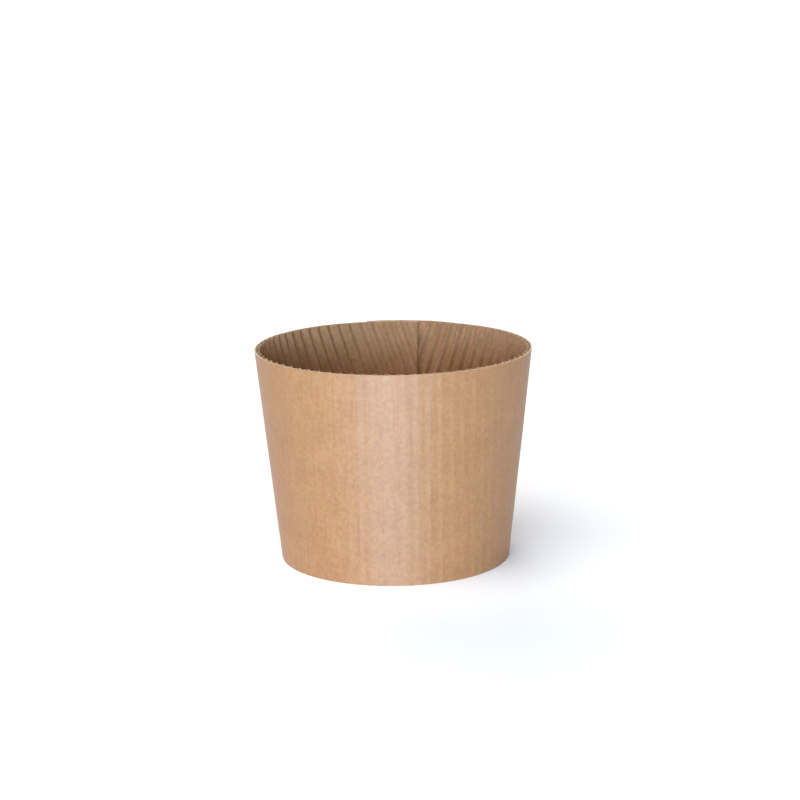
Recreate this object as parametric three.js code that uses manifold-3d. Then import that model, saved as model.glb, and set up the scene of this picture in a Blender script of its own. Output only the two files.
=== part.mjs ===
// Conical sleeve of single-face corrugated board, in millimetres, +Z up.
// The board is a smooth kraft liner outside and a fluted medium inside, glued to it flute by flute. Its
// blank is cut from flat board as part of a ring, so the flutes run parallel to its middle line. Rolled
// into a cone, they cross it more and more slantwise towards the back, where its ends lap and are glued.
// The origin is on the cone's axis, in the plane of the lower edge. The front is -Y, the lap is at +Y.

import * as THREE from "three";
import { mergeVertices } from "three/addons/utils/BufferGeometryUtils.js";
import Module from "manifold-3d";

// Driving dimensions of the rolled sleeve
const sleeveHeight = 57;
const topDiameter = 73.9; // outside, at the upper edge
const wallAngle = 6.16; // degrees that the wall leans out from the vertical

// Driving dimensions of the board
const linerThickness = 0.28;
const mediumThickness = 0.2;
const flutePitch = 3.2;
const fluteRise = 1.05; // of the medium's middle line, from the liner towards the axis
const bondWidth = 0.6; // flat top of a flute, where it is glued to the liner
const washboardDepth = 0.06; // how far the liner dips between two bonds

// Driving dimensions of the lapped and glued ends
const lapWidth = 12; // along the lower edge
const pressedRise = 0.7; // what is left of fluteRise where the lap was pressed
const climbLength = 9; // the outer end climbs onto the inner end over this length
const climbLead = 1.5; // the climb is over this long before the inner end begins
const glueThickness = 0.15;
const glueMargin = 2; // bare board between the glue and the edges of the lap
const linerSoak = 0.18; // how far the glue soaks into the liner under it
const fluteSoak = 0.08; // how far the glue soaks into the flutes over it

// How finely curves are divided
const channelSteps = 6; // across the medium between two bonds
const rowSweep = 8; // most degrees round the cone between two points along a flute
const glueSteps = 4; // round the cone in the glue

// Points on the blank that are closer than this are made one
const nearlySame = 0.05;

const kraftColour = 0xc49a74;

// The cone, and the arcs of the flat blank that it unrolls to
const lean = THREE.MathUtils.degToRad(wallAngle);
const topRadius = topDiameter / 2;
const bottomRadius = topRadius - sleeveHeight * Math.tan(lean);
const outerArc = topRadius / Math.sin(lean);
const innerArc = bottomRadius / Math.sin(lean);

// Turns round the cone, in radians from the front
const lapTurn = lapWidth / bottomRadius;
const endTurn = Math.PI + lapTurn / 2;
const climbEnd = Math.PI - lapTurn / 2 - climbLead / bottomRadius;
const climbStart = climbEnd - climbLength / bottomRadius;

// The blank's straight ends, and how far its corners are from its middle line
const endAngle = endTurn * Math.sin(lean);
const outerCorner = outerArc * Math.sin(endAngle);
const innerCorner = innerArc * Math.sin(endAngle);

const channelWidth = flutePitch - bondWidth;
const pressedBoard = linerThickness + pressedRise + mediumThickness;

// Share of the climb and of the pressing that is done at a turn: 0 in the plain wall, 1 in the lap
const lapShare = (turn) => THREE.MathUtils.smoothstep(Math.abs(turn), climbStart, climbEnd);

const riseAt = (turn) => THREE.MathUtils.lerp(fluteRise, pressedRise, lapShare(turn));

// How far the board's outer face lies inside the cone at a turn. Pressed flutes keep their place towards
// the axis, and the end with the positive turn lies over the other end and the glue.
function sinkAt(turn) {
  const lift = turn > 0 ? (pressedBoard + glueThickness) * lapShare(turn) : 0;
  return fluteRise - riseAt(turn) - lift;
}

// Point of the rolled board at a turn, a distance along the cone from its tip and a depth in the board
function pointAt(turn, arc, depth) {
  const radius = arc * Math.sin(lean) - (sinkAt(turn) + depth) / Math.cos(lean);
  const height = (arc - innerArc) * Math.cos(lean);
  return new THREE.Vector3(radius * Math.sin(turn), -radius * Math.cos(turn), height);
}

const turnOf = (across, along) => Math.atan2(across, along) / Math.sin(lean);

// Share of the way across the channel between two bonds. In a bond it is 0 or 1.
function channelShare(across) {
  const inside = THREE.MathUtils.euclideanModulo(across, flutePitch) - bondWidth / 2;
  if (inside < nearlySame) {
    return 0;
  }
  return inside > channelWidth - nearlySame ? 1 : inside / channelWidth;
}

// 0 at both sides of a channel and 1 in its middle
const hump = (across) => (1 - Math.cos(2 * Math.PI * channelShare(across))) / 2;

// Depths of the board's four faces, at a place across the flutes and a turn
const linerOutside = (across) => washboardDepth * hump(across);
const linerInside = (across) => linerOutside(across) + linerThickness;
const mediumOutside = (across, turn) => mediumMiddle(across, turn) - mediumHalf(across, turn);
const mediumInside = (across, turn) => mediumMiddle(across, turn) + mediumHalf(across, turn);

function mediumMiddle(across, turn) {
  return linerThickness + mediumThickness / 2 + riseAt(turn) * hump(across);
}

// Half the medium's thickness, which is longer straight through the board where the medium slopes
function mediumHalf(across, turn) {
  const steepest = (Math.PI * riseAt(turn)) / channelWidth;
  return (mediumThickness / 2) * Math.hypot(1, steepest * Math.sin(2 * Math.PI * channelShare(across)));
}

// Places across the whole blank that have points, from the places across one flute. The blank's corners
// are always among them.
function placesAcross(placesInFlute) {
  const corners = [-outerCorner, -innerCorner, innerCorner, outerCorner];
  const flutes = Math.ceil(outerCorner / flutePitch);
  const found = [...corners];
  for (let flute = -flutes; flute < flutes; flute++) {
    for (const place of placesInFlute) {
      const across = flute * flutePitch + place;
      const clear = corners.every((corner) => Math.abs(corner - across) > nearlySame);
      if (clear && Math.abs(across) < outerCorner) {
        found.push(across);
      }
    }
  }
  return found.sort((a, b) => a - b);
}

// Points along one flute line of a face, from the blank's lower edge or straight end to its upper edge
function fluteLine(across, depthOf) {
  const endsOnCut = Math.abs(across) > innerCorner;
  const low = endsOnCut ? Math.abs(across) / Math.tan(endAngle) : Math.sqrt(innerArc ** 2 - across ** 2);
  const high = Math.sqrt(outerArc ** 2 - across ** 2);
  const swept = THREE.MathUtils.radToDeg(Math.abs(turnOf(across, low) - turnOf(across, high)));
  const rows = high - low < nearlySame ? 0 : Math.max(1, Math.ceil(swept / rowSweep));
  const points = [];
  for (let row = 0; row <= rows; row++) {
    const along = rows === 0 ? high : THREE.MathUtils.lerp(low, high, row / rows);
    const turn = turnOf(across, along);
    points.push(pointAt(turn, Math.hypot(across, along), depthOf(across, turn)));
  }
  return points;
}

// One face of the board, as its flute lines in order
function boardFace(placesInFlute, depthOf) {
  return placesAcross(placesInFlute).map((across) => ({ across, points: fluteLine(across, depthOf) }));
}

// The triangles of one face, between its flute lines, wherever one of the two lines is in an open part
function coverFace(mesh, face, facesOut, isOpen) {
  for (let line = 1; line < face.length; line++) {
    const [before, after] = [face[line - 1], face[line]];
    if (isOpen(before.across) || isOpen(after.across)) {
      zip(mesh, facesOut ? before.points : after.points, facesOut ? after.points : before.points);
    }
  }
}

// Triangles between two rows of points that run side by side. They face where left is seen on the left.
function zip(mesh, left, right) {
  let i = 0;
  let j = 0;
  while (i < left.length - 1 || j < right.length - 1) {
    const leftFirst =
      j === right.length - 1 ||
      (i < left.length - 1 && left[i + 1].distanceTo(right[j]) < left[i].distanceTo(right[j + 1]));
    mesh.push(left[i], right[j], leftFirst ? left[i + 1] : right[j + 1]);
    i += leftFirst ? 1 : 0;
    j += leftFirst ? 0 : 1;
  }
}

const inChannel = (across) => channelShare(across) > 0 && channelShare(across) < 1;
const anywhere = () => true;

// The board as one closed body. In the bonds the liner's inside and the medium's outside are one, so
// nothing is drawn between them there.
function makeBoard() {
  const flutePlaces = [];
  for (let step = 0; step <= channelSteps; step++) {
    flutePlaces.push(bondWidth / 2 + (channelWidth * step) / channelSteps);
  }
  const channelPlaces = [bondWidth / 2, flutePitch / 2, flutePitch - bondWidth / 2];
  const faces = {
    linerOutside: boardFace([0, flutePitch / 2], linerOutside),
    linerInside: boardFace(channelPlaces, linerInside),
    mediumOutside: boardFace(flutePlaces, mediumOutside),
    mediumInside: boardFace(flutePlaces, mediumInside),
  };
  const mesh = [];
  coverFace(mesh, faces.linerOutside, true, anywhere);
  coverFace(mesh, faces.linerInside, false, inChannel);
  coverFace(mesh, faces.mediumOutside, true, inChannel);
  coverFace(mesh, faces.mediumInside, false, anywhere);
  const upper = (face) => face.map((line) => line.points.at(-1));
  const lower = (face) => face.map((line) => line.points[0]);
  zip(mesh, upper(faces.linerInside), upper(faces.linerOutside));
  zip(mesh, upper(faces.mediumInside), upper(faces.mediumOutside));
  zip(mesh, lower(faces.linerOutside), lower(faces.linerInside));
  zip(mesh, lower(faces.mediumOutside), lower(faces.mediumInside));
  return mesh;
}

// The layer of glue in the lap, as a closed body that reaches a little into the board on both sides
function makeGlue() {
  const side = lapTurn / 2 - glueMargin / bottomRadius;
  const ends = [innerArc + glueMargin, outerArc - glueMargin];
  const row = (arc, depth) => {
    const points = [];
    for (let step = 0; step <= glueSteps; step++) {
      const turn = Math.PI + THREE.MathUtils.lerp(-side, side, step / glueSteps);
      points.push(pointAt(turn, arc, depth));
    }
    return points;
  };
  const outer = ends.map((arc) => row(arc, pressedBoard - fluteSoak));
  const inner = ends.map((arc) => row(arc, pressedBoard + glueThickness + linerSoak));
  const mesh = [];
  zip(mesh, outer[1], outer[0]);
  zip(mesh, inner[0], inner[1]);
  zip(mesh, inner[1], outer[1]);
  zip(mesh, outer[0], inner[0]);
  zip(mesh, [inner[0][0], inner[1][0]], [outer[0][0], outer[1][0]]);
  zip(mesh, [outer[0].at(-1), outer[1].at(-1)], [inner[0].at(-1), inner[1].at(-1)]);
  return mesh;
}

const wasm = await Module();
wasm.setup();

// A solid from the corners of its triangles
function solidOf(mesh) {
  const geometry = mergeVertices(new THREE.BufferGeometry().setFromPoints(mesh));
  const vertProperties = geometry.getAttribute("position").array;
  const triVerts = new Uint32Array(geometry.index.array);
  return new wasm.Manifold(new wasm.Mesh({ numProp: 3, vertProperties, triVerts }));
}

// The board and its glue, joined into the one body that the finished sleeve is
function makeSleeve() {
  const { vertProperties, triVerts } = solidOf(makeBoard()).add(solidOf(makeGlue())).getMesh();
  const geometry = new THREE.BufferGeometry();
  geometry.setAttribute("position", new THREE.BufferAttribute(vertProperties, 3));
  geometry.setIndex(new THREE.BufferAttribute(triVerts, 1));
  const material = new THREE.MeshStandardMaterial({ color: kraftColour, roughness: 0.85, metalness: 0 });
  const sleeve = new THREE.Mesh(geometry, material);
  sleeve.name = "cup_sleeve";
  return sleeve;
}

const object = new THREE.Group();
object.name = "coffee_cup_sleeve";
object.add(makeSleeve());

export default object;
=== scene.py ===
"""Looks of the corrugated sleeve: two layers of kraft paper, the glue in the lap, floor, light, camera."""

import math
import random

import bpy
from mathutils import Matrix, Vector, noise


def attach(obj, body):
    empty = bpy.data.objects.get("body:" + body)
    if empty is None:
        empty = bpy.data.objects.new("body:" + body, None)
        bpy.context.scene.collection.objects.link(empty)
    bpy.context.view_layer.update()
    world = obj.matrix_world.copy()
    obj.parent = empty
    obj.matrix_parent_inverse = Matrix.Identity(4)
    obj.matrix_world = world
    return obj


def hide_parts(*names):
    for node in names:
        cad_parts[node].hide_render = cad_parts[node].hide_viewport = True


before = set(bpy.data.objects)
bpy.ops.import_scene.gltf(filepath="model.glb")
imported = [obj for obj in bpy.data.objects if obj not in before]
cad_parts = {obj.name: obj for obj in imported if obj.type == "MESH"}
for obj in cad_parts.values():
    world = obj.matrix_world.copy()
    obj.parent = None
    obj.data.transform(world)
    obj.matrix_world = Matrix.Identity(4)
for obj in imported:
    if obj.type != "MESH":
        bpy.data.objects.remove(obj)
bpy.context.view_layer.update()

NODE = "cup_sleeve"

# Sizes in millimetres, as in the part's source
MM = 0.001
HEIGHT = 57
TOP_RADIUS = 73.9 / 2
LEAN = math.radians(6.16)
LINER = 0.28
MEDIUM = 0.2
PITCH = 3.2
RISE = 1.05
BOND = 0.6
WASHBOARD = 0.06
LAP = 12
PRESSED_RISE = 0.7
CLIMB_LENGTH = 9
CLIMB_LEAD = 1.5
GLUE = 0.15
GLUE_MARGIN = 2

# How far the glue soaks into the board, in millimetres, which is less than in the part's source
FLUTE_SOAK = 0.05  # into the flutes over it
LINER_SOAK = 0.1  # into the liner under it

# Irregularities that only the looks have, in millimetres, with their waves per millimetre
UNEVEN_DEPTH = 0.05
UNEVEN_ACROSS = 0.07
UNEVEN_ALONG = 0.035
UNEVEN_SEED = 3
KNIFE_WOBBLE = 0.05
WOBBLE_WAVES = 0.4
LEAST_DIP = 0.75  # share of WASHBOARD in the flattest flute
MOST_DIP = 1.25  # and in the deepest

# How finely the paper is divided, and the angle from which an edge is sharp
LINER_STEPS = 12  # across one flute
MEDIUM_STEPS = 18  # across one channel
ROW = 3.0  # longest step along a flute
GLUE_COLUMNS = 16
GLUE_ROWS = 20
NEARLY_SAME = 0.02
SHARP_ANGLE = math.radians(50)

BOTTOM_RADIUS = TOP_RADIUS - HEIGHT * math.tan(LEAN)
OUTER_ARC = TOP_RADIUS / math.sin(LEAN)
INNER_ARC = BOTTOM_RADIUS / math.sin(LEAN)
LAP_TURN = LAP / BOTTOM_RADIUS
END_TURN = math.pi + LAP_TURN / 2
CLIMB_END = math.pi - LAP_TURN / 2 - CLIMB_LEAD / BOTTOM_RADIUS
CLIMB_START = CLIMB_END - CLIMB_LENGTH / BOTTOM_RADIUS
END_ANGLE = END_TURN * math.sin(LEAN)
OUTER_CORNER = OUTER_ARC * math.sin(END_ANGLE)
INNER_CORNER = INNER_ARC * math.sin(END_ANGLE)
CHANNEL = PITCH - BOND
PRESSED_BOARD = LINER + PRESSED_RISE + MEDIUM
FLUTES = math.ceil(OUTER_CORNER / PITCH)

draw = random.Random(7)
FLUTE_DIP = {flute: draw.uniform(LEAST_DIP, MOST_DIP) for flute in range(-FLUTES - 1, FLUTES + 1)}


# The rolled board. A place on the flat blank is a distance across its flutes and one along them.

def lap_share(turn):
    """Share of the climb and of the pressing that is done at a turn: 0 in the plain wall, 1 in the lap."""
    share = min(1, max(0, (abs(turn) - CLIMB_START) / (CLIMB_END - CLIMB_START)))
    return share * share * (3 - 2 * share)


def rise_at(turn):
    return RISE + (PRESSED_RISE - RISE) * lap_share(turn)


def sink_at(turn):
    """How far the board's outer face lies inside the cone."""
    lift = (PRESSED_BOARD + GLUE) * lap_share(turn) if turn > 0 else 0
    return RISE - rise_at(turn) - lift


def point_at(turn, arc, depth):
    """Point of the rolled board at a turn, a distance from the cone's tip and a depth in the board."""
    radius = arc * math.sin(LEAN) - (sink_at(turn) + depth) / math.cos(LEAN)
    height = (arc - INNER_ARC) * math.cos(LEAN)
    return Vector((radius * math.sin(turn), -radius * math.cos(turn), height)) * MM


def turn_of(across, along):
    return math.atan2(across, along) / math.sin(LEAN)


def channel_share(across):
    """Share of the way across the channel between two bonds. In a bond it is 0 or 1."""
    inside = across % PITCH - BOND / 2
    return min(1, max(0, inside / CHANNEL))


def hump(across):
    """0 at both sides of a channel and 1 in its middle."""
    return (1 - math.cos(2 * math.pi * channel_share(across))) / 2


def unevenness(across, along):
    """Slow waviness of the board, as a depth from 0 to twice UNEVEN_DEPTH."""
    place = Vector((across * UNEVEN_ACROSS, along * UNEVEN_ALONG, UNEVEN_SEED))
    return UNEVEN_DEPTH * (1 + noise.noise(place))


# Depths of the board's four faces

def liner_outside(across, along, turn):
    dip = WASHBOARD * FLUTE_DIP[math.floor(across / PITCH)] * hump(across)
    return dip + unevenness(across, along)


def liner_inside(across, along, turn):
    return liner_outside(across, along, turn) + LINER


def medium_middle(across, along, turn):
    """Depth of the medium's middle. Its crests towards the axis stay level where the board is uneven."""
    uneven = unevenness(across, along)
    return LINER + MEDIUM / 2 + uneven + (rise_at(turn) - uneven) * hump(across)


def medium_half(across, turn):
    """Half the medium's thickness, which is longer straight through the board where it slopes."""
    steepest = math.pi * rise_at(turn) / CHANNEL
    return MEDIUM / 2 * math.hypot(1, steepest * math.sin(2 * math.pi * channel_share(across)))


def medium_outside(across, along, turn):
    return medium_middle(across, along, turn) - medium_half(across, turn)


def medium_inside(across, along, turn):
    return medium_middle(across, along, turn) + medium_half(across, turn)


# Meshes

class Paper:
    """A closed sheet of paper as it is put together: points, their places on the flat board, and faces."""

    def __init__(self):
        self.points = []
        self.places = []
        self.faces = []
        self.slots = []

    def point(self, position, place):
        self.points.append(position)
        self.places.append(place)
        return len(self.points) - 1

    def zip(self, left, right, slot):
        """Faces between two rows of points that run side by side."""
        if len(left) == len(right):
            for i in range(1, len(left)):
                self.faces.append((left[i - 1], right[i - 1], right[i], left[i]))
                self.slots.append(slot)
            return
        i = j = 0
        while i < len(left) - 1 or j < len(right) - 1:
            left_first = j == len(right) - 1
            if not left_first and i < len(left) - 1:
                on_left = (self.points[left[i + 1]] - self.points[right[j]]).length
                left_first = on_left < (self.points[left[i]] - self.points[right[j + 1]]).length
            self.faces.append((left[i], right[j], left[i + 1] if left_first else right[j + 1]))
            self.slots.append(slot)
            i, j = (i + 1, j) if left_first else (i, j + 1)

    def wrap(self, outer, inner, inner_slot, edge_slot):
        """Faces over the outer and inner lines, and over the upper and lower edges between them."""
        for before, after in zip(outer, outer[1:]):
            self.zip(before, after, 0)
        for before, after in zip(inner, inner[1:]):
            self.zip(after, before, inner_slot)
        self.zip([line[-1] for line in inner], [line[-1] for line in outer], edge_slot)
        self.zip([line[0] for line in outer], [line[0] for line in inner], edge_slot)

    def piece(self, name, materials):
        """The finished piece. Its board attribute keeps each point's place for the materials."""
        mesh = bpy.data.meshes.new(name)
        mesh.from_pydata(self.points, [], self.faces)
        places = mesh.attributes.new("board", "FLOAT_VECTOR", "POINT")
        places.data.foreach_set("vector", [value for place in self.places for value in place])
        for material in materials:
            mesh.materials.append(material)
        mesh.polygons.foreach_set("material_index", self.slots)
        mesh.polygons.foreach_set("use_smooth", [True] * len(self.faces))
        mesh.set_sharp_from_angle(angle=SHARP_ANGLE)
        mesh.update()
        piece = bpy.data.objects.new(name, mesh)
        bpy.context.collection.objects.link(piece)
        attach(piece, "root")
        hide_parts(NODE)


def places_across(places_in_flute):
    """Places across the whole blank that have points. The blank's corners are always among them."""
    corners = [-OUTER_CORNER, -INNER_CORNER, INNER_CORNER, OUTER_CORNER]
    found = list(corners)
    for flute in range(-FLUTES, FLUTES):
        for place in places_in_flute:
            across = flute * PITCH + place
            if abs(across) < OUTER_CORNER and all(abs(c - across) > NEARLY_SAME for c in corners):
                found.append(across)
    return sorted(found)


def cut_wobble(across, seed):
    """How far the knife strayed into the board, in millimetres."""
    return KNIFE_WOBBLE * (1 + noise.noise(Vector((across * WOBBLE_WAVES, seed, 0))))


def flute_line(paper, across, depth_of):
    """Points along one flute line, from the blank's lower edge or straight end to its upper edge."""
    if abs(across) > INNER_CORNER:
        low = abs(across) / math.tan(END_ANGLE)
    else:
        low = math.sqrt(INNER_ARC**2 - across**2) + cut_wobble(across, 1)
    high = math.sqrt(OUTER_ARC**2 - across**2) - cut_wobble(across, 2)
    rows = 0 if high - low < NEARLY_SAME else max(1, math.ceil((high - low) / ROW))
    line = []
    for row in range(rows + 1):
        along = low + (high - low) * (row / rows if rows else 1)
        turn = turn_of(across, along)
        depth = depth_of(across, along, turn)
        position = point_at(turn, math.hypot(across, along), depth)
        line.append(paper.point(position, (across, along, depth)))
    return line


def sheet_of_paper(name, places_in_flute, outside, inside, materials):
    """The liner or the medium. Its materials are those of its outer face, its inner face and its cuts."""
    paper = Paper()
    places = places_across(places_in_flute)
    outer = [flute_line(paper, across, outside) for across in places]
    inner = [flute_line(paper, across, inside) for across in places]
    paper.wrap(outer, inner, 1, 2)
    paper.piece(name, materials)


def glue_layer(pad, depth):
    """One face of the glue, as lines that run up the cone."""
    side = LAP_TURN / 2 - GLUE_MARGIN / BOTTOM_RADIUS
    lines = []
    for column in range(GLUE_COLUMNS + 1):
        turn = math.pi + side * (2 * column / GLUE_COLUMNS - 1)
        flat_turn = turn * math.sin(LEAN)
        line = []
        for row in range(GLUE_ROWS + 1):
            arc = INNER_ARC + GLUE_MARGIN + (OUTER_ARC - INNER_ARC - 2 * GLUE_MARGIN) * row / GLUE_ROWS
            place = (arc * math.sin(flat_turn), arc * math.cos(flat_turn), depth)
            line.append(pad.point(point_at(turn, arc, depth), place))
        lines.append(line)
    return lines


def make_glue(material):
    """The strip of glue between the two ends of the board."""
    pad = Paper()
    outer = glue_layer(pad, PRESSED_BOARD - FLUTE_SOAK)
    inner = glue_layer(pad, PRESSED_BOARD + GLUE + LINER_SOAK)
    pad.wrap(outer, inner, 0, 0)
    pad.zip(inner[0], outer[0], 0)
    pad.zip(outer[-1], inner[-1], 0)
    pad.piece("glue", (material,))


# Materials

class Nodes:
    """A material's node tree, with short calls to add to it."""

    def __init__(self, name):
        self.material = bpy.data.materials.new(name)
        self.material.use_nodes = True
        self.tree = self.material.node_tree
        self.shader = self.tree.nodes["Principled BSDF"]

    def add(self, kind, inputs=(), **settings):
        node = self.tree.nodes.new(kind)
        for name, value in settings.items():
            setattr(node, name, value)
        for name, value in dict(inputs).items():
            self.set(node, name, value)
        return node

    def set(self, node, name, value):
        if isinstance(value, bpy.types.NodeSocket):
            self.tree.links.new(value, node.inputs[name])
        else:
            node.inputs[name].default_value = value

    def math(self, operation, a, b=0.5, c=0.5):
        node = self.add("ShaderNodeMath", {0: a, 1: b, 2: c}, operation=operation)
        return node.outputs[0]

    def noise(self, vector, scale, detail=3.0, rough=0.55):
        inputs = {"Vector": vector, "Scale": scale, "Detail": detail, "Roughness": rough}
        return self.add("ShaderNodeTexNoise", inputs).outputs[0]

    def stretched(self, vector, scale, turn=0.0):
        inputs = {"Vector": vector, "Scale": scale, "Rotation": (0, 0, turn)}
        return self.add("ShaderNodeMapping", inputs).outputs[0]

    def moved(self, vector, distance):
        """The same place somewhere else in the noise, so that two patterns don't coincide."""
        inputs = {0: vector, 1: (distance, 2 * distance, 0)}
        return self.add("ShaderNodeVectorMath", inputs).outputs[0]

    def between(self, value, low, high):
        """0 below low, 1 above high, and smooth in between."""
        inputs = {"Value": value, "From Min": low, "From Max": high}
        node = self.add("ShaderNodeMapRange", inputs, interpolation_type="SMOOTHSTEP")
        return node.outputs["Result"]

    def tint(self, factor, a, b, blend="MIX"):
        node = self.add("ShaderNodeMix", data_type="RGBA", blend_type=blend)
        self.set(node, "Factor", factor)
        for socket, value in (("A_Color", a), ("B_Color", b)):
            place = next(i for i, s in enumerate(node.inputs) if s.identifier == socket)
            self.set(node, place, value)
        return next(s for s in node.outputs if s.identifier == "Result_Color")

    def board(self):
        """Place on the flat board: across the flutes, along them, and depth, in millimetres."""
        return self.add("ShaderNodeAttribute", attribute_name="board").outputs["Vector"]


# The paper's patterns, in waves per millimetre: one number, or one each across, along and through
CLOUD_WAVES = 0.16
MOTTLE_WAVES = 0.75
STREAK_WAVES = (1.9, 0.13, 1.0)
HUE_WAVES = 0.3
SPECK_WAVES = 1.6
BROKEN_WAVES = (0.9, 0.08, 1.0)
GRAIN_WAVES = 4.5
FIBRES = (  # direction in radians, move in the noise, waves across the fibre and along it
    (0.1, 0, 1.5, 0.45),
    (-0.5, 31, 2.6, 0.5),
    (0.7, 67, 2.6, 0.5),
    (1.5, 93, 2.2, 0.5),
)
HUE_MOVE = 17
SPECK_MOVE = 41

# Between which values of its noise each pattern sets in
BLEND_RANGE = (0.36, 0.64)
HUE_RANGE = (0.35, 0.65)
FIBRE_RANGE = (0.64, 0.76)
SPECK_RANGE = (0.68, 0.76)
BROKEN_RANGE = (0.4, 0.65)

# How much each pattern does
CLOUD_SHARE = 0.23
MOTTLE_SHARE = 0.62
STREAK_SHARE = 0.15
OLIVE = (0.99, 1.0, 0.93, 1)
PINK = (1.02, 0.99, 1.04, 1)
DARKENING = (0.72, 0.62, 0.54, 1)
FIBRE_RELIEF = 0.6  # against the grain's
MOTTLE_RELIEF = 0.8
RELIEF = 0.04  # depth in millimetres
ROUGHNESS_SPREAD = 0.3
BOND_LINE = 0.6  # from the middle of a bond to where its line has faded, in millimetres


def linear(red, green, blue):
    """Linear colour from the 0 to 255 values of a picture."""
    shares = [value / 255 for value in (red, green, blue)]
    return (*[((share + 0.055) / 1.055) ** 2.4 for share in shares], 1)


def dark_fibres(nodes, board):
    """Short fibres in several directions, as one share."""
    fibres = 0.0
    for turn, move, across, along in FIBRES:
        place = nodes.stretched(nodes.moved(board, move), (across, along, 1.0), turn)
        one_way = nodes.between(nodes.noise(place, 1.0, detail=2, rough=0.5), *FIBRE_RANGE)
        fibres = nodes.math("MAXIMUM", one_way, fibres)
    return fibres


def bond_lines(nodes, board):
    """Faint broken lines where the glue of the bonds shows through, as a share."""
    across = nodes.add("ShaderNodeSeparateXYZ", {0: board}).outputs[0]
    near = nodes.between(nodes.math("PINGPONG", across, PITCH / 2), BOND_LINE, 0.0)
    broken = nodes.noise(nodes.stretched(board, BROKEN_WAVES), 1.0)
    return nodes.math("MULTIPLY", near, nodes.between(broken, *BROKEN_RANGE))


def kraft_paper(name, light, dark, fibre_strength, line_strength, roughness, bump, shine):
    """Uncoated kraft: cloudy formation, short dark fibres, specks, and faint lines where the glue shows."""
    nodes = Nodes(name)
    board = nodes.board()
    cloud = nodes.noise(board, CLOUD_WAVES, detail=3, rough=0.5)
    mottle = nodes.noise(board, MOTTLE_WAVES, detail=4, rough=0.72)
    streak = nodes.noise(nodes.stretched(board, STREAK_WAVES), 1.0, detail=3, rough=0.6)
    blend = nodes.math("MULTIPLY", cloud, CLOUD_SHARE)
    blend = nodes.math("MULTIPLY_ADD", mottle, MOTTLE_SHARE, blend)
    blend = nodes.math("MULTIPLY_ADD", streak, STREAK_SHARE, blend)
    colour = nodes.tint(nodes.between(blend, *BLEND_RANGE), dark, light)
    hue = nodes.noise(nodes.moved(board, HUE_MOVE), HUE_WAVES, detail=2, rough=0.5)
    hue_tint = nodes.tint(nodes.between(hue, *HUE_RANGE), OLIVE, PINK)
    colour = nodes.tint(1.0, colour, hue_tint, "MULTIPLY")

    darkened = nodes.tint(1.0, colour, DARKENING, "MULTIPLY")
    fibre = dark_fibres(nodes, board)
    speck = nodes.noise(nodes.moved(board, SPECK_MOVE), SPECK_WAVES, detail=1, rough=0.4)
    dark_spots = nodes.math("MAXIMUM", fibre, nodes.between(speck, *SPECK_RANGE))
    dark_share = nodes.math("MULTIPLY", dark_spots, fibre_strength)
    colour = nodes.tint(dark_share, colour, darkened)
    line_share = nodes.math("MULTIPLY", bond_lines(nodes, board), line_strength)
    colour = nodes.tint(line_share, colour, darkened)

    grain = nodes.noise(board, GRAIN_WAVES, detail=3, rough=0.6)
    relief = nodes.math("MULTIPLY_ADD", mottle, MOTTLE_RELIEF, grain)
    relief = nodes.math("MULTIPLY_ADD", fibre, FIBRE_RELIEF, relief)
    inputs = {"Strength": bump, "Distance": RELIEF * MM, "Height": relief}
    normal = nodes.add("ShaderNodeBump", inputs).outputs[0]
    smoothest = roughness - ROUGHNESS_SPREAD / 2
    rough = nodes.math("MULTIPLY_ADD", mottle, ROUGHNESS_SPREAD, smoothest)
    for socket, value in (("Base Color", colour), ("Normal", normal), ("Roughness", rough)):
        nodes.set(nodes.shader, socket, value)
    nodes.set(nodes.shader, "Specular IOR Level", shine)
    return nodes


def draw_out_sheen(nodes):
    """The ribbed liner's soft sheen, drawn out up the cone."""
    tangent = nodes.add("ShaderNodeTangent", direction_type="RADIAL", axis="Z").outputs[0]
    nodes.set(nodes.shader, "Tangent", tangent)
    nodes.set(nodes.shader, "Anisotropic", 0.45)
    nodes.set(nodes.shader, "Anisotropic Rotation", 0.25)


def make_materials():
    outside = kraft_paper(
        "liner_outside", linear(175, 123, 75), linear(158, 104, 59),
        fibre_strength=0.5, line_strength=0.34, roughness=0.56, bump=0.4, shine=1.0,
    )
    draw_out_sheen(outside)
    inside = kraft_paper(
        "medium_face", linear(186, 142, 102), linear(166, 121, 82),
        fibre_strength=0.5, line_strength=0.0, roughness=0.8, bump=0.7, shine=0.25,
    )
    # Cut edges: paler than the faces, as cut fibres are, and made paler still as painted light that stands
    # for light from above on the top rim
    cut_and_painted_light = kraft_paper(
        "cut_edge_and_painted_light", linear(244, 222, 192), linear(224, 194, 158),
        fibre_strength=0.4, line_strength=0.0, roughness=0.9, bump=1.0, shine=0.2,
    )
    glue = kraft_paper(
        "dry_glue", linear(206, 176, 126), linear(190, 156, 104),
        fibre_strength=0.1, line_strength=0.0, roughness=0.4, bump=0.3, shine=0.5,
    )
    return outside.material, inside.material, cut_and_painted_light.material, glue.material


def make_sleeve():
    outside, inside, cut_and_painted_light, glue = make_materials()
    even = [PITCH * step / LINER_STEPS for step in range(LINER_STEPS)]
    channel = [BOND / 2 + CHANNEL * step / MEDIUM_STEPS for step in range(MEDIUM_STEPS + 1)]
    sheet_of_paper("liner", even, liner_outside, liner_inside, (outside, inside, cut_and_painted_light))
    sheet_of_paper("medium", channel, medium_outside, medium_inside, (inside, inside, cut_and_painted_light))
    make_glue(glue)


# Floor and world, which look white wherever the camera or a reflection sees them

FLOOR_RADIUS = 6  # metres
FLOOR_SIDES = 96
GLOW_START = 0.15  # metres from the middle, where the floor's glow begins to rise
GLOW_END = 0.9  # and where it stops rising
NEAR_GLOW = 0.14
MORE_GLOW = 0.28  # what the far floor has more
WORLD_LIGHT = 0.03


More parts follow.
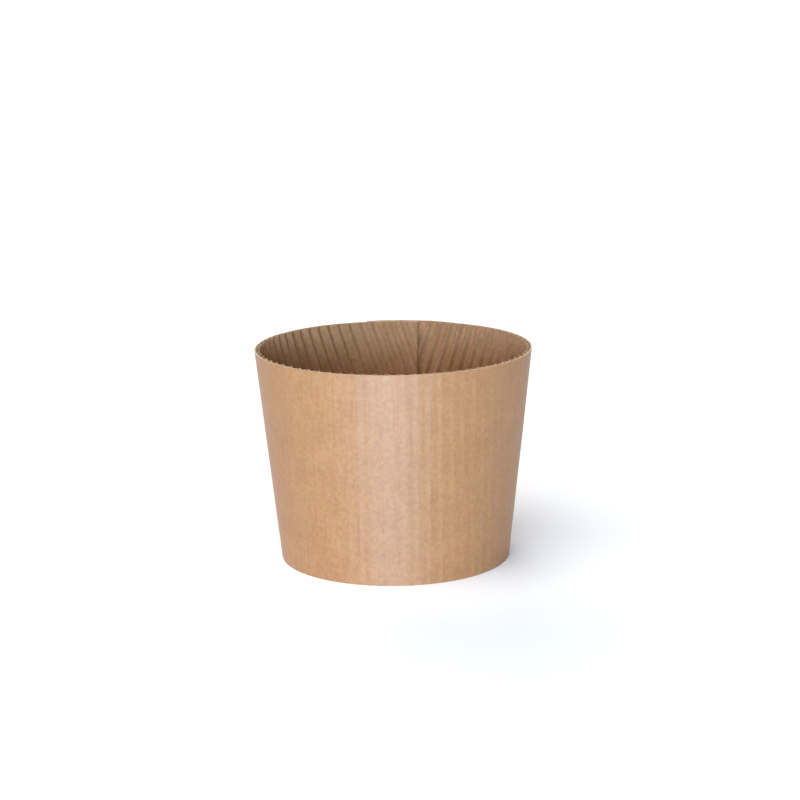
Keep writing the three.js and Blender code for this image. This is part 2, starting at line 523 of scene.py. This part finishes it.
def seen_directly(tree):
    """1 for rays of the camera, of reflections and through clear material, and 0 for diffuse light."""
    path = tree.nodes.new("ShaderNodeLightPath").outputs
    seen = path["Is Camera Ray"]
    for name in ("Is Glossy Ray", "Is Transmission Ray"):
        either = tree.nodes.new("ShaderNodeMath")
        either.operation = "MAXIMUM"
        tree.links.new(seen, either.inputs[0])
        tree.links.new(path[name], either.inputs[1])
        seen = either.outputs[0]
    return seen


def make_floor():
    mesh = bpy.data.meshes.new("floor")
    turns = [2 * math.pi * step / FLOOR_SIDES for step in range(FLOOR_SIDES)]
    rim = [(FLOOR_RADIUS * math.cos(turn), FLOOR_RADIUS * math.sin(turn), 0) for turn in turns]
    mesh.from_pydata(rim, [], [range(FLOOR_SIDES)])
    nodes = Nodes("floor")
    nodes.set(nodes.shader, "Base Color", (0.95, 0.95, 0.95, 1))
    nodes.set(nodes.shader, "Roughness", 0.9)
    nodes.set(nodes.shader, "Specular IOR Level", 0.1)
    place = nodes.add("ShaderNodeNewGeometry").outputs["Position"]
    from_middle = nodes.add("ShaderNodeVectorMath", {0: place}, operation="LENGTH").outputs["Value"]
    far = nodes.between(from_middle, GLOW_START, GLOW_END)
    glow = nodes.math("MULTIPLY_ADD", far, MORE_GLOW, NEAR_GLOW)
    nodes.set(nodes.shader, "Emission Color", (1, 1, 1, 1))
    nodes.set(nodes.shader, "Emission Strength", nodes.math("MULTIPLY", seen_directly(nodes.tree), glow))
    mesh.materials.append(nodes.material)
    floor = bpy.data.objects.new("floor", mesh)
    bpy.context.collection.objects.link(floor)


def make_world():
    world = bpy.data.worlds.new("studio")
    bpy.context.scene.world = world
    world.use_nodes = True
    tree = world.node_tree
    background = tree.nodes["Background"]
    background.inputs["Color"].default_value = (1, 1, 1, 1)
    strength = tree.nodes.new("ShaderNodeMapRange")
    strength.inputs["To Min"].default_value = WORLD_LIGHT
    strength.inputs["To Max"].default_value = 1.0
    tree.links.new(seen_directly(tree), strength.inputs["Value"])
    tree.links.new(strength.outputs["Result"], background.inputs["Strength"])


# Lamps

PANELS = (  # name, place, width and height in metres, watts and colour
    ("front_panel", (-0.06, -0.75, 0.11), (0.54, 0.22), 6.5, (0.71, 1.03, 1.42)),
    ("left_panel", (-1.2, -0.3, 0.5), (0.8, 0.8), 0.95, (1.1, 1.0, 0.92)),
    ("back_panel", (-0.35, 1.1, 0.8), (0.9, 0.9), 8.5, (1.0, 1.0, 1.0)),
)
OVERHEAD_PLACE = (-0.3, -0.4, 1.2)
OVERHEAD_STRENGTH = 2.0
OVERHEAD_ANGLE = math.radians(50)


def place_lamp(lamp, place, target):
    holder = bpy.data.objects.new(lamp.name, lamp)
    holder.location = place
    holder.rotation_mode = "QUATERNION"
    holder.rotation_quaternion = (Vector(target) - Vector(place)).to_track_quat("-Z", "Y")
    holder.visible_camera = False
    bpy.context.collection.objects.link(holder)


def make_panel(name, place, size, power, colour):
    lamp = bpy.data.lights.new(name, "AREA")
    lamp.shape = "RECTANGLE"
    lamp.size, lamp.size_y = size
    lamp.energy = power
    lamp.color = colour
    place_lamp(lamp, place, (0, 0, HEIGHT / 2 * MM))


def make_lamps():
    for panel in PANELS:
        make_panel(*panel)
    overhead = bpy.data.lights.new("overhead", "SUN")
    overhead.energy = OVERHEAD_STRENGTH
    overhead.angle = OVERHEAD_ANGLE
    place_lamp(overhead, OVERHEAD_PLACE, (0, 0, 0))


# The photograph's camera: distance, elevation and roll about the sleeve's middle, which falls on one pixel

FRAME_WIDTH = 800  # pixels, and the height too
FOCAL = 2265  # pixels
SENSOR_WIDTH = 36  # millimetres, as Blender's lens
DISTANCE = 0.609  # metres
CLIP_START = 0.02  # metres
ELEVATION = math.radians(14.04)
ROLL = math.radians(0.74)
MIDDLE_PIXEL = (394.5, 450.3)


def make_camera():
    data = bpy.data.cameras.new("camera")
    data.sensor_width = SENSOR_WIDTH
    data.lens = FOCAL / FRAME_WIDTH * SENSOR_WIDTH
    data.clip_start = CLIP_START
    camera = bpy.data.objects.new("camera", data)
    bpy.context.collection.objects.link(camera)
    bpy.context.scene.camera = camera
    middle = Vector((0, 0, HEIGHT / 2 * MM))
    back = Vector((0, -math.cos(ELEVATION), math.sin(ELEVATION)))
    camera.location = middle + back * DISTANCE
    aim = (-back).to_track_quat("-Z", "Y")
    to_middle = Vector((MIDDLE_PIXEL[0] - FRAME_WIDTH / 2, FRAME_WIDTH / 2 - MIDDLE_PIXEL[1], -FOCAL))
    reframe = to_middle.rotation_difference(Vector((0, 0, -1)))
    roll = Matrix.Rotation(-ROLL, 3, "Z").to_quaternion()
    camera.rotation_mode = "QUATERNION"
    camera.rotation_quaternion = aim @ roll @ reframe


make_sleeve()
make_floor()
make_world()
make_lamps()
make_camera()
bpy.context.scene.view_settings.view_transform = "Standard"
